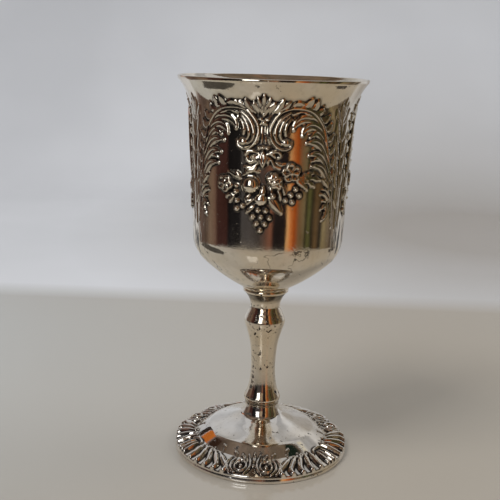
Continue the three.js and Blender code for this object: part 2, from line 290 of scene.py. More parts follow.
        # Painted shade over all worked relief, lifted off its highest points.
        tarnish_and_shade = np.maximum(tarnish_and_shade, WORKED_PAINTED_SHADE * worked * (1 - SHADE_LIFT * shade_lifted))
        return height[rows, ::OVERSAMPLE], tarnish_and_shade[rows, ::OVERSAMPLE]


def blurred(field, reach):
    """The field averaged over a square, wrapping round along the band."""
    for axis, mode in ((1, "wrap"), (0, "edge")):
        pad = [(0, 0), (0, 0)]
        pad[axis] = (reach + 1, reach)
        total = np.cumsum(np.pad(field, pad, mode=mode), axis=axis)
        size = 2 * reach + 1
        if axis:
            field = (total[:, size:] - total[:, :-size]) / size
        else:
            field = (total[size:] - total[:-size]) / size
    return field


def mirrored(points, side, centre=0.0):
    """The points set to one side of a centre line: 1 is right and -1 left."""
    return [(centre + side * u, v) for u, v in points]


def fruit(wall):
    """A swag of fruit, flowers and grapes across the middle of a panel."""
    grapes = (
        [(-1.7, 112.4), (1.4, 112.3), (-3.7, 109.8), (-0.5, 109.8), (2.9, 109.5)]
        + [(-2.2, 107.1), (1.2, 107.0), (-0.6, 104.5)]
        + [(-10.7, 119.2), (-10.2, 115.7), (-10.3, 112.6), (-7.9, 113.8), (4.1, 118.1)]
        + [(11.1, 118.6), (14.5, 118.4), (9.0, 116.6), (11.7, 115.9), (12.9, 120.9)]
    )
    wall.leaf([(-8, 124), (-11, 125.4), (-14.6, 126.9)], 1.7, 0.8)
    wall.leaf([(-8.6, 124.6), (-9.8, 125.8), (-10.9, 127.2)], 1.5, 1.1)
    wall.leaf([(-11.2, 117.2), (-13.4, 117.9), (-15.2, 116.6)], 1.6, 0.9)
    wall.leaf([(-11.4, 118), (-12.8, 116), (-13.6, 114.8)], 1.5, 0.9)
    wall.leaf([(-4.8, 118.3), (-5.9, 117.4), (-6.7, 115.2)], 1.7, 1.3)
    wall.leaf([(-3.3, 116.6), (-4.8, 116), (-6.2, 114.2)], 1.8, 1.4)
    wall.leaf([(-3, 114.4), (-4.2, 113.4), (-6.2, 111.2)], 2.0, 1.5)
    wall.leaf([(2.4, 117.4), (4.6, 115.2), (7.7, 111.3)], 3.3, 1.0, flutes=4, widest=0.4, fold=0.35)
    wall.rib([(2.4, 121.6), (3.4, 120.2), (3, 118.2)], 0.9, 0.9)
    wall.rib([(5.6, 120.6), (6.8, 119), (7.2, 116.6)], 1.1, 0.8)
    wall.rib([(7.2, 122.6), (8.2, 120.8), (8.4, 118.6)], 0.9, 0.8)
    for tip in ((20.4, 126.8), (24.4, 123.9), (21.4, 121.3), (17.9, 120.1)):
        start = (13.4, 124.9)
        middle = ((start[0] + tip[0]) / 2 + 0.3, (start[1] + tip[1]) / 2 + 0.6)
        wall.leaf([start, middle, tip], 2.5, 0.9, lobes=3, widest=0.62)
    wall.leaf([(12.6, 124.8), (14.6, 123), (16.6, 121.2)], 1.6, 0.9)
    for at in grapes:
        wall.dome(at, (1.1, 1.1), 1.7)
    wall.dome((-10.7, 121.4), (0.9, 0.8), 1.0)
    wall.dome((-4.9, 122.0), (3.1, 3.25), 2.1)
    loop = [(-7.9, 120), (-8.4, 122.4), (-7.2, 124.8), (-4.9, 125.7), (-2.5, 124.8), (-1.4, 122.4), (-2, 120)]
    wall.rib(loop, 0.8, 0.8)
    wall.dome((-3.6, 121.2), (0.6, 0.6), 2.3)
    wall.dome((-0.7, 116.6), (2.55, 2.5), 2.1)
    wall.dome((-0.1, 119.3), (1.35, 2.3), 1.7, turn=-8)
    wall.dome((0.1, 121.4), (0.75, 0.7), 1.6)
    wall.berry((4.6, 123.9), (3.9, 2.8), 2.0, turn=-48)
    wall.rosette((10.9, 127.3), 3.75, 1.7, turn=24)
    wall.rosette((-15.8, 121.9), 3.4, 1.5, turn=60)


def husk(wall):
    """The crest, the knot and the hanging husk in the middle of a panel."""
    centre, root = -0.3, 147.8
    for lean, length, width in ((0, 8.9, 2.1), (-17, 8, 1.9), (17, 8, 1.9), (-34, 7.2, 1.9), (34, 7.2, 1.9)):
        heading = math.radians(90 + lean)
        tip = (centre + length * math.cos(heading), root + length * math.sin(heading))
        bend = (centre + 0.55 * (tip[0] - centre) * 0.8, root + 0.55 * (tip[1] - root))
        wall.leaf([(centre, 148.2), bend, tip], 0.78 * width, 1.4, widest=0.72, fold=0.65)
    for side in (-1, 1):

        def rib(points, width, height):
            wall.rib(mirrored(points, side, centre), width, height)

        for tip, width in (((4.4, 153.4), 1.5), ((7.0, 155), 2.1), ((9.6, 154.1), 2.2)):
            path = [(0.45 * tip[0], 149.6), (0.78 * tip[0], 151.9), tip]
            wall.leaf(mirrored(path, side, centre), width, 1.1, flutes=3, widest=0.66)
        rib([(1.9, 147.8), (0.6, 146.8), (-1.6, 145)], 0.9, 1.0)
        rib([(0.6, 145), (0.6, 141.5), (0.9, 138)], 0.8, 0.7)
        rib([(1.4, 144.8), (1.5, 141.5), (2.5, 137.8)], 0.9, 0.7)
        wall.dome((centre + side * 1.5, 136.4), (0.95, 0.9), 1.2)
        rib([(1.6, 134.4), (3.8, 135.2), (6, 135), (6.7, 133.7), (5.7, 132.8)], 1.25, 1.1)
    wall.dome((-1.5, 147.3), (0.7, 0.6), 1.2)
    wall.dome((1.2, 147.1), (0.7, 0.6), 1.2)
    wall.dome((centre, 146), (1.1, 1.0), 1.3)
    wall.dome((-0.4, 136.7), (0.9, 0.8), 1.4)
    wall.leaf([(-0.4, 135.2), (-0.4, 132.2), (-0.3, 128.9)], 3.1, 1.5, widest=0.45)
    wall.leaf([(-1.4, 134.6), (-2.2, 132.6), (-2.3, 130)], 1.6, 1.2)
    wall.leaf([(0.8, 134.4), (1.5, 132.6), (1.7, 130.2)], 1.5, 1.1)
    wall.leaf([(-1.8, 134.2), (-3.2, 132), (-5.4, 131), (-7.2, 133.4)], 2.0, 1.0, flutes=3, widest=0.4)
    wall.dome((-3.9, 132.9), (1.3, 0.9), 1.3, turn=20)
    wall.dome((-6.3, 134.2), (0.7, 0.6), 1.2)
    wall.leaf([(1.6, 134), (3.2, 134.2), (4.4, 132.8)], 1.7, 1.1)
    wall.rib([(1.6, 133.4), (3.3, 131.4), (4.4, 129.6), (6.6, 128.8)], 1.0, 0.9)
    wall.rib([(4.4, 131.2), (6.4, 130.3), (8.3, 130.4)], 0.9, 0.8)
    wall.leaf([(-2.7, 130.4), (-4.2, 128.6), (-7.8, 129.2)], 2.3, 1.4, widest=0.35)
    wall.leaf([(-3, 129.6), (-4.6, 127.5), (-7.2, 127.6)], 1.7, 1.2, widest=0.35)
    wall.leaf([(-1.4, 127.4), (-4.8, 127.4), (-8.4, 125.4)], 1.4, 0.8)


def frame_half(wall, side):
    """One half of a panel's frame: a C-scroll, the arched ribs, and the leaves inside and outside them."""

    def rib(points, width, height, **more):
        wall.rib(mirrored(points, side), width, height, **more)

    def leaf(points, width, height, **more):
        wall.leaf(mirrored(points, side), width, FRAME_LEAF_RISE * height, **more)

    # A low lobed spray under the arch, and long folded leaves on it that end in curled tips.
    leaf([(10.8, 147.6), (15.6, 146.8), (20, 143.2), (22.6, 138), (24.2, 132), (26, 126), (28, 119.6)],
         8.2, 0.42, flutes=6, lobes=9, widest=0.4, fold=0.4)
    for points, width, height, widest, tip in (
        ([(24.6, 141), (22, 145.2), (18.4, 147.2), (14.2, 147.4), (11.6, 145.6), (11, 143.5)],
         3.4, 0.79, 0.7, 0.5),
        ([(25.4, 138), (22.4, 142.8), (18.6, 144.9), (15.6, 143.8), (14.4, 141.3)], 3.4, 0.86, 0.65, 0.5),
        ([(26, 134), (23.6, 139.4), (20.6, 142.2), (17.6, 140.6)], 3.0, 0.86, 0.6, 0.55),
        ([(27.2, 128.6), (24.2, 135.4), (20.6, 138.6), (16.3, 138.6)], 3.6, 0.94, 0.62, 0.5),
        ([(28, 123.6), (25.4, 130.4), (21.6, 134.1), (17.6, 133.9)], 3.6, 0.94, 0.62, 0.5),
        ([(28.6, 119.6), (26.2, 125.6), (23, 129.2), (19, 129.6)], 3.2, 0.94, 0.62, 0.5),
    ):
        leaf(points, width, height, fold=0.6, widest=widest, tip=tip)
    leaf([(23.4, 131.6), (21, 132.4), (19, 131.4)], 1.9, 0.79)
    leaf([(28.4, 119.6), (27, 122.6), (24.4, 124.4)], 2.2, 0.72)
    leaf([(23.6, 143.6), (20.4, 147), (16.6, 148.9), (12, 148.3)], 1.6, 0.65)
    # Leaves outside the arch.
    for points, width, height, flutes, tip in (
        ([(12, 151.4), (15.4, 152.6), (17.6, 155.8)], 3.2, 0.72, 4, 0),
        ([(15.6, 151.2), (18.8, 152), (19.6, 155.2)], 3.0, 0.79, 4, 0),
        ([(18.4, 150.2), (21.4, 150), (22.4, 152.2)], 2.8, 0.79, 3, 0.5),
        ([(21.2, 148), (24, 147), (26.2, 149)], 3.0, 0.79, 3, 0.55),
        ([(23.4, 144.8), (26, 143.6), (27.6, 146)], 2.8, 0.79, 3, 0.6),
        ([(24.8, 141), (27, 139.6), (29, 141.4)], 2.6, 0.79, 3, 0.6),
        ([(26, 136.4), (28, 134.6), (29.8, 137)], 2.4, 0.72, 2, 0.5),
        ([(27, 131.4), (28.8, 129.6), (30.4, 132.4)], 2.2, 0.72, 2, 0.5),
        ([(28, 126.4), (29.4, 124.6), (30.8, 127.4)], 2.0, 0.72, 2, 0.5),
    ):
        leaf(points, width, height, flutes=flutes, widest=0.6, tip=tip)
    leaf([(9.4, 151.8), (11.4, 153.2), (14.6, 153.4)], 2.2, 0.58)
    # The C-scroll, in nested flutes, with a volute at its foot.
    rib([(9.6, 151.3), (6.2, 150), (3.6, 147.2), (2.2, 143.8), (2.7, 140.2), (4.6, 137.2), (7.4, 136),
         (9.8, 136.9), (10.4, 138.9)], 1.4, 1.6, ends=(0.5, 0.7))
    rib([(9.4, 149.9), (6.4, 147.9), (4.6, 145), (4, 142), (4.7, 139.3), (6.4, 137.9)],
        1.75, 1.6, ends=(0.5, 0.4))
    rib([(9.2, 148.5), (7.3, 146.6), (6.1, 144.2), (5.8, 141.7), (6.6, 139.6)], 1.7, 1.5, ends=(0.5, 0.4))
    rib([(9.6, 147.2), (8.2, 145.3), (7.7, 143.2), (8, 141.2)], 1.5, 1.4, ends=(0.6, 0.4))
    wall.dome((side * 8.3, 138.6), (1.8, 1.7), 1.5)
    # The arched rib, doubled by a thinner one.
    rib([(8.6, 151.2), (11, 151.5), (14.8, 151.3), (18.4, 150), (21.5, 147.3), (23.8, 143.6), (25.1, 139.6),
         (26.3, 134.6), (27.6, 129), (28.8, 123.6), (29.4, 119.6)], 1.35, 1.4, ends=(0.6, 0.5))
    rib([(10.2, 149.3), (13.4, 150.2), (16.8, 149.5), (19.6, 147.7), (22, 144.8), (23.8, 141), (25.2, 136.4)],
        0.9, 1.0)
    # The lower curl of the frame and its drop.
    rib([(25.2, 120.4), (27.4, 119.6), (28.7, 117.4), (28.9, 115)], 1.1, 1.2, ends=(0.6, 0.4))
    rib([(24.4, 118.5), (25.8, 118.3), (27.3, 117), (28, 115)], 1.5, 1.3, ends=(0.7, 0.4))
    leaf([(28.9, 119), (28.6, 115.6), (25.2, 116)], 2.2, 0.8)
    leaf([(28.4, 114.4), (26.6, 113.6), (24.6, 112.2)], 1.8, 1.1)
    leaf([(27.8, 115), (27.7, 110.6), (25.6, 107.6)], 2.7, 1.2, lobes=4)


def foliage(wall):
    """An upright spray of long leaves on the wall between one frame and the next."""
    for side in (-1, 1):
        centre = side * REPEAT / 2
        for out in (-1, 1):
            edge = [(4.4, 143), (4.5, 132), (4.1, 116), (2.6, 104)]
            wall.rib(mirrored(edge, out, centre), 1.3, 0.8)
            for low, lean in ((112, 1.5), (118.5, 2.6), (125, 3), (131.5, 3.2), (138, 3.4)):
                path = [(0.4, low), (lean * 0.8, low + 4), (lean, low + 9)]
                wall.leaf(mirrored(path, out, centre), 2.7, 0.8, flutes=3, widest=0.6, tip=0.5)
            for path, width in (
                ([(0.4, 145), (2.6, 147), (5, 151.4)], 2.8),
                ([(0.3, 146), (1.3, 149.6), (2.2, 153.6)], 2.4),
            ):
                wall.leaf(mirrored(path, out, centre), width, 0.8, flutes=3, widest=0.6)
        wall.rib([(centre, 149), (centre, 134), (centre, 103)], 1.1, 1.0)
        wall.leaf([(centre, 146), (centre, 150.6), (centre, 155.4)], 2.2, 0.9, widest=0.6)


def wall_chasing(columns, rows):
    wall = Chasing(WALL_RELIEF, columns, rows)
    foliage(wall)
    wall.height *= FOLIAGE_LOWERED
    for side in (-1, 1):
        frame_half(wall, side)
    wall.height *= FRAMES_LOWERED
    husk(wall)
    fruit(wall)
    wall.height *= ALL_LOWERED
    return wall.sampled()


def border_half(border, side):
    """One half of a panel of the foot's border: a rose in loops and a row of swept flutes. v runs inwards."""

    def rib(points, width, height, **more):
        border.rib(mirrored(points, side), width, height, **more)

    def leaf(points, width, height, **more):
        border.leaf(mirrored(points, side), width, height, **more)

    rose = 5.3
    turns = np.linspace(0, 2 * math.pi, 13)
    circle = [(rose + 2.4 * math.sin(turn), 4.7 - 2.8 * math.cos(turn)) for turn in turns]
    rib(circle, 1.1, 1.5, ends=(1, 1))
    border.dome((side * rose, 4.7), (1.0, 1.2), 1.3)
    rib([(rose - 2.4, 11), (rose - 3.6, 8), (rose - 3.7, 4.2), (rose - 2, 1)], 1.3, 1.2, ends=(0.4, 0.6))
    rib([(rose + 1.6, 0.8), (rose + 3.6, 2.6), (rose + 4.2, 5.4), (rose + 3.4, 8.6)], 1.5, 1.4, ends=(0.6, 0.3))
    rib([(rose + 3.6, 0.8), (rose + 5.6, 3), (rose + 6, 6), (rose + 5.2, 9)], 1.7, 1.5, ends=(0.6, 0.3))
    leaf([(rose - 0.9, 7.4), (rose - 0.4, 9.4), (rose + 0.9, 10.6)], 1.6, 1.0, tip=0.5)
    leaf([(rose + 3.6, 8.6), (rose + 3.9, 10.4), (rose + 5.2, 11.2)], 1.4, 0.6, tip=0.4)
    leaf([(16.8, 9.6), (17.2, 11.6), (18.8, 12.4)], 1.5, 0.5, tip=0.4)
    flutes, first, last = 5, 13.8, 28.2
    for flute in range(flutes):
        share = flute / (flutes - 1)
        along, sweep = first + (last - first) * share, 2.6 * (1 - share) + 0.3
        path = [(along - 0.8 * sweep, 0.2), (along - 1.1 * sweep + 0.1, 2.6), (along - 0.1 * sweep, 5.6),
                (along + 1.2 * sweep + 0.4, 8.8)]
        rib(path, 2.6, 1.6, ends=(0.75, 0.3))
    leaf([(19.6, 9.4), (21, 8.6), (22.6, 9.8)], 1.5, 0.9, tip=0.5)
    leaf([(24.8, 9.6), (26.4, 8.4), (28.2, 9.4)], 1.5, 0.9, tip=0.5)
    middle = REPEAT / 2
    for out in (0, 2.2):
        rib([(middle - out, 0.3), (middle - out * 0.95, 3.6), (middle - out * 0.8, 7.2)],
            1.9, 1.5, ends=(0.8, 0.5))
    rib([(middle, 9.2), (middle - 2.4, 8.8), (middle - 4.4, 7)], 1.2, 1.2, ends=(0.9, 0.5))


def border_chasing(columns, rows):
    border = Chasing(BORDER_RELIEF, columns, rows)
    for side in (-1, 1):
        border_half(border, side)
    border.leaf([(0, 6.6), (0.1, 9), (0, 11.4)], 2.0, 0.9, tip=0.5)
    border.dome((0, 5.6), (0.8, 0.8), 0.9)
    return border.sampled()


# Meshes


def ring_points(radii, heights, count, start):
    """Points round the axis. radii and heights are single values or one for each point."""
    angles = start + 2 * math.pi * np.arange(count) / count
    radii = np.broadcast_to(radii, count)
    return np.column_stack([radii * np.sin(angles), -radii * np.cos(angles), np.broadcast_to(heights, count)])


def strip_faces(low, low_count, high, high_count):
    """Faces between two rings, whose first points have the indices low and high."""
    if low_count == high_count:
        here = np.arange(low_count)
        there = (here + 1) % low_count
        return np.column_stack([low + here, low + there, high + there, high + here]).tolist()
    fine_below = low_count > high_count
    fine, coarse = (low, high) if fine_below else (high, low)
    fine_count, coarse_count = max(low_count, high_count), min(low_count, high_count)
    each = fine_count // coarse_count
    half = each // 2
    faces = []
    for place in range(coarse_count):
        here, there = coarse + place, coarse + (place + 1) % coarse_count
        points = [fine + (place * each + part) % fine_count for part in range(each + 1)]
        faces += [(here, points[part], points[part + 1]) for part in range(half)]
        faces.append((here, points[half], there))
        faces += [(there, points[part], points[part + 1]) for part in range(half, each)]
    return faces if fine_below else [face[::-1] for face in faces]


class Shell:
    """A closed turned piece, built ring by ring from one end of its outline to the other."""

    def __init__(self, start):
        self.start = start
        self.points = []
        self.tarnish_and_shade = []
        self.rings = []
        self.faces = []

    def add(self, radii, heights, count, tarnish_and_shade=0.0):
        first = sum(len(points) for points in self.points)
        self.points.append(ring_points(radii, heights, count, self.start))
        self.tarnish_and_shade.append(np.broadcast_to(tarnish_and_shade, count))
        if self.rings:
            self.faces += strip_faces(*self.rings[-1], first, count)
        self.rings.append((first, count))

    def close(self, start_height, end_height):
        """Adds a point on the axis at each end."""
        first, count = self.rings[0]
        last, last_count = self.rings[-1]
        pole = sum(len(points) for points in self.points)
        self.points.append(np.array([[0, 0, start_height], [0, 0, end_height]]))
        self.tarnish_and_shade.append(np.zeros(2))
        self.faces += [(pole, first + (place + 1) % count, first + place) for place in range(count)]
        self.faces += [(last + place, last + (place + 1) % last_count, pole + 1) for place in range(last_count)]

    def to_object(self, name):
        mesh = bpy.data.meshes.new(name)
        mesh.from_pydata((np.vstack(self.points) * MM).tolist(), [], self.faces)
        mesh.shade_smooth()
        # Per point: tarnish and painted shade, which the material turns brown and black.
        tarnish_and_shade = mesh.attributes.new("tarnish_and_shade", "FLOAT", "POINT")
        tarnish_and_shade.data.foreach_set("value", np.concatenate(self.tarnish_and_shade).astype(np.float32))
        piece = bpy.data.objects.new(name, mesh)
        bpy.context.scene.collection.objects.link(piece)
        return piece


def normals_along(outline):
    """Outward normals of an outline that is followed with the metal on its left."""
    way = np.gradient(outline, axis=0)
    way /= np.hypot(*way.T)[:, None]
    return np.column_stack([way[:, 1], -way[:, 0]])


def make_bowl():
    fine_panel, coarse, rows = 200, 150, 144
    fine = fine_panel * PANELS
    heights, tarnish_and_shade = wall_chasing(fine_panel, rows)
    shell = Shell(FIRST_PANEL - math.pi / PANELS)
    outside = bowl_outside()
    base = ((4, 0), (COLLAR_RADIUS - 0.3, 0), (COLLAR_RADIUS + 0.1, 0.25), (COLLAR_RADIUS + 0.45, 0.9))
    for radius, height in base:
        shell.add(radius, BOWL_SEAM + height, coarse)
    for radius, height in outside[outside[:, 1] < WALL_RELIEF[0] - 0.3]:
        shell.add(radius, height, coarse)
    levels = np.linspace(*WALL_RELIEF, rows)
    line = np.column_stack([np.interp(levels, outside[:, 1], outside[:, 0]), levels])
    for place, normal in enumerate(normals_along(line)):
        lift = np.tile(heights[place], PANELS)
        dark = np.tile(tarnish_and_shade[place], PANELS)
        shell.add(line[place, 0] + lift * normal[0], line[place, 1] + lift * normal[1], fine, dark)
    for radius, height in outside[outside[:, 1] > WALL_RELIEF[1] + 0.3]:
        shell.add(radius, height, coarse)
    inside = bowl_inside()
    roll = 0.46
    for angle in (-40, -5, 30, 65, 100, 135):
        radius = RIM_RADIUS - roll + roll * math.cos(math.radians(angle))
        height = HEIGHT - roll + roll * math.sin(math.radians(angle))
        shell.add(radius, height, coarse)
    for radius, height in inside[::-1]:
        shell.add(radius, height, coarse)
    shell.add(5, BOWL_SEAM + 2.05, coarse)
    shell.close(BOWL_SEAM, BOWL_SEAM + 2)
    return shell.to_object("bowl_chased")


def stem_outline():
    """The baluster from the foot up: bulb, waist, knop, neck and collar."""
    points = [
        (NECK_RADIUS, 1.2), (7.95, 3.2), (6.5, 7), (5.6, 12), (5.3, 19), (6, 27.5), (7.6, 34), (8.85, 38.5),
        (7.6, 42), (6.35, 45), (7.2, 48.5), (COLLAR_RADIUS - 0.9, 51.2),
    ]
    return smooth_path([(radius, FOOT_SEAM + height) for radius, height in points], 12)


def make_stem():
    columns = 144
    shell = Shell(0)
    # Tarnish and painted shade at the joints: the seat on the foot is tinted brown, and the stem goes dark just
    # above the foot and just under the collar below the bowl.
    seat = ((3.5, 0), (NECK_RADIUS - 0.1, 0), (NECK_RADIUS + 0.35, 0.3), (NECK_RADIUS + 0.35, 0.8))
    for radius, height in seat:
        shell.add(radius, FOOT_SEAM + height, columns, 0.3)
    for radius, height in stem_outline():
        joint_tarnish_and_shade = np.interp(height - FOOT_SEAM, (0, 1.2, 2.2, 47, 48.6, 51), (0.8, 0.5, 0, 0, 0.55, 0.8))
        shell.add(radius, height, columns, joint_tarnish_and_shade)
    for radius, below in ((-0.35, 1.4), (-0.05, 1.1), (0, 0.8), (0, 0.35), (-0.15, 0.05), (-0.4, 0), (-5, 0)):
        shell.add(COLLAR_RADIUS + radius, BOWL_SEAM - below, columns)
    shell.close(FOOT_SEAM, BOWL_SEAM)
    return shell.to_object("stem_turned")


def border_height(radii):
    """The plain height of the foot's top at a radius."""
    dome = dome_outline(0, 16)[::-1]
    edge = np.array([[FOOT_RADIUS, FOOT_BAND]])
    line = np.vstack([dome, edge])
    order = np.argsort(line[:, 0])
    return np.interp(radii, line[order, 0], line[order, 1])


def make_foot():
    fine_panel, coarse, rows = 288, 216, 58
    fine = fine_panel * PANELS
    heights, tarnish_and_shade = border_chasing(fine_panel, rows)
    shell = Shell(FIRST_PANEL - math.pi / PANELS)
    shell.add(3, FOOT_SEAM - FOOT_WALL * 1.4, coarse)
    shell.add(NECK_RADIUS - FOOT_WALL, FOOT_SEAM - 3.4, coarse)
    roof = dome_outline(FOOT_WALL)
    for radius, height in roof[roof[:, 0] > 9]:
        shell.add(radius, height, coarse)
    sole = FOOT_RADIUS - SOLE_WIDTH
    for radius, height in ((sole - 0.4, FOOT_BAND - FOOT_WALL + 0.5), (sole, 0.3), (sole + 0.3, 0)):
        shell.add(radius, height, coarse)
    for radius, height in ((-0.35, 0), (-0.05, 0.25), (0, 0.8), (-0.05, 1.6), (-0.35, 2.0), (-0.3, 2.3)):
        shell.add(FOOT_RADIUS + radius, height, coarse)
    inwards = np.linspace(0.0, BORDER_RELIEF[1], rows)
    radii = FOOT_RADIUS - 0.25 - inwards
    line = np.column_stack([radii, border_height(radii)])
    normals = normals_along(line)
    fade = np.clip(inwards / 0.5, 0, 1)
    for place, normal in enumerate(normals):
        lift = np.tile(heights[place], PANELS) * fade[place]
        dark = np.tile(tarnish_and_shade[place], PANELS)
        shell.add(line[place, 0] + lift * normal[0], line[place, 1] + lift * normal[1], fine, dark)
    dome = dome_outline(0, 14)[::-1]
    for radius, height in dome[dome[:, 0] < radii[-1] - 0.3]:
        shell.add(radius, height, coarse)
    shell.add(NECK_RADIUS - 2, FOOT_SEAM, coarse)
    shell.close(FOOT_SEAM - FOOT_WALL * 1.4, FOOT_SEAM)
    return shell.to_object("foot_chased")


# Materials

# Stains in millimetres: a place on the surface and a reach.
STAINS = {
    "bowl": [(-5.5, -37.4, 159.2, 0.5), (1.5, -37.8, 159.2, 0.35), (-24.5, -19.5, 92, 0.4),
             (-13, -22, 86.5, 0.8)],
    "stem": [(-1.9, -5.3, 44.2, 0.5), (-1.3, -5.4, 45.3, 0.45), (-4.9, -3.4, 28.5, 0.9), (-4.6, -3.2, 31, 0.8),
             (-4.6, -3.2, 33.2, 0.75), (-4.5, -3.1, 35.4, 0.6), (-4.5, -3.1, 37.6, 0.5),
             (-4.5, -3.2, 39.8, 0.35), (3.1, -4.6, 40, 0.1), (3.3, -4.6, 36.5, 0.15), (2.9, -5.1, 47, 0.2),
             (1.5, -6.9, 56, 0.2), (4.4, -4.6, 33, 0.3)],
    "foot": [(-9.8, -23, 8.4, 0.9), (0.5, -26, 7.8, 0.8), (1.5, -27.3, 6.9, 0.8), (10.9, -16.8, 11, 0.4),
             (4, -18.6, 11.3, 0.4), (11.6, -12.4, 12.3, 0.35), (7, -15, 12.4, 0.3)],
}

STREAKS_TOP = 112 * MM  # dark streaks run down the bowl from here
LINES_TOP = 98 * MM  # crazed lines lie below this


class Nodes:
    """Short calls for building a node material."""

    def __init__(self, name):
        self.material = bpy.data.materials.new(name)
        self.material.use_nodes = True
        self.tree = self.material.node_tree
        self.shader = self.tree.nodes["Principled BSDF"]

    def add(self, kind, **settings):
        node = self.tree.nodes.new(kind)
        for name, value in settings.items():
            setattr(node, name, value)
        return node

    def link(self, source, target):
        self.tree.links.new(source, target)

    def glow(self, colour, strength=1.0):
        node = self.add("ShaderNodeEmission")
        node.inputs["Strength"].default_value = strength
        if isinstance(colour, tuple):
            node.inputs["Color"].default_value = (*colour, 1)
        else:
            self.link(colour, node.inputs["Color"])
        return node.outputs[0]

    def show(self, source):
        self.link(source, self.tree.nodes["Material Output"].inputs["Surface"])

    def where(self):
        return self.add("ShaderNodeTexCoord").outputs["Object"]

    def split(self, where):
        node = self.add("ShaderNodeSeparateXYZ")
        self.link(where, node.inputs[0])
        return node.outputs

    def apart(self, where, place):
        """How far each point lies from a place."""
        node = self.add("ShaderNodeVectorMath", operation="DISTANCE")
        self.link(where, node.inputs[0])
        node.inputs[1].default_value = place
        return node.outputs["Value"]

    def noise(self, where, scale, detail=3.0, roughness=0.55):
        node = self.add("ShaderNodeTexNoise")
        node.inputs["Scale"].default_value = scale
        node.inputs["Detail"].default_value = detail
        node.inputs["Roughness"].default_value = roughness
        self.link(where, node.inputs["Vector"])
        return node.outputs["Fac"]

    def span(self, source, low, high, to_low=0.0, to_high=1.0):
        node = self.add("ShaderNodeMapRange")
        for name, value in (("From Min", low), ("From Max", high), ("To Min", to_low), ("To Max", to_high)):
            node.inputs[name].default_value = value
        self.link(source, node.inputs["Value"])
        return node.outputs["Result"]

    def sum(self, kind, first, second):
        node = self.add("ShaderNodeMath", operation=kind, use_clamp=kind in ("ADD", "MAXIMUM"))
        for socket, value in zip(node.inputs, (first, second)):
            if isinstance(value, (int, float)):
                socket.default_value = value
            else:
                self.link(value, socket)
        return node.outputs[0]

    def mix(self, share, first, second):
        node = self.add("ShaderNodeMix", data_type="RGBA")
        for socket, value in ((node.inputs[0], share), (node.inputs[6], first), (node.inputs[7], second)):
            if isinstance(value, tuple):
                socket.default_value = (*value, 1)
            elif isinstance(value, float):
                socket.default_value = value
            else:
                self.link(value, socket)
        return node.outputs[2]

    def stains(self, where):
        """Thin crazed lines under the bowl's wall and dark upright streaks down its sides."""
        position = self.split(where)
        height = position["Z"]
        squashed = self.add("ShaderNodeVectorMath", operation="MULTIPLY")
        self.link(where, squashed.inputs[0])
        squashed.inputs[1].default_value = (1, 1, 0.12)
        below = self.span(height, STREAKS_TOP - 4 * MM, STREAKS_TOP, 1, 0)
        aside = self.span(self.sum("ABSOLUTE", position["X"], 0.0), 23 * MM, 29 * MM)
        streaks = self.span(self.noise(squashed.outputs[0], 620, 3), 0.54, 0.6)
        streaks = self.sum("MULTIPLY", streaks, self.sum("MULTIPLY", below, aside))
        wander = self.sum("ABSOLUTE", self.sum("SUBTRACT", self.noise(where, 110, 4), 0.5), 0.0)
        lines = self.span(wander, 0.004, 0.012, 1, 0)
        lines = self.sum("MULTIPLY", lines, self.span(self.noise(where, 48, 2), 0.5, 0.56))
        lines = self.sum("MULTIPLY", lines, self.span(height, LINES_TOP - 2 * MM, LINES_TOP, 1, 0))
        return self.sum("MAXIMUM", streaks, self.sum("MULTIPLY", lines, 0.8))

    def blemishes(self, where, spots):
        """Small ragged stains, each given by its place and its reach in millimetres."""
        ragged = self.sum("MULTIPLY", self.noise(where, 1100, 3, 0.7), 4 * MM)
        found = 0.0
        for x, y, z, reach in spots:
            edge = self.sum("ADD", self.apart(where, Vector((x, y, z)) * MM), ragged)
            spot = self.span(edge, (reach + 1.85) * MM, (reach + 2.15) * MM, 0.82, 0)
            found = self.sum("MAXIMUM", spot, found)
        return found

    def bump(self, height, strength, distance, normal=None):
        node = self.add("ShaderNodeBump")
        node.inputs["Strength"].default_value = strength
        node.inputs["Distance"].default_value = distance
        self.link(height, node.inputs["Height"])
        if normal:
            self.link(normal, node.inputs["Normal"])
        return node.outputs["Normal"]


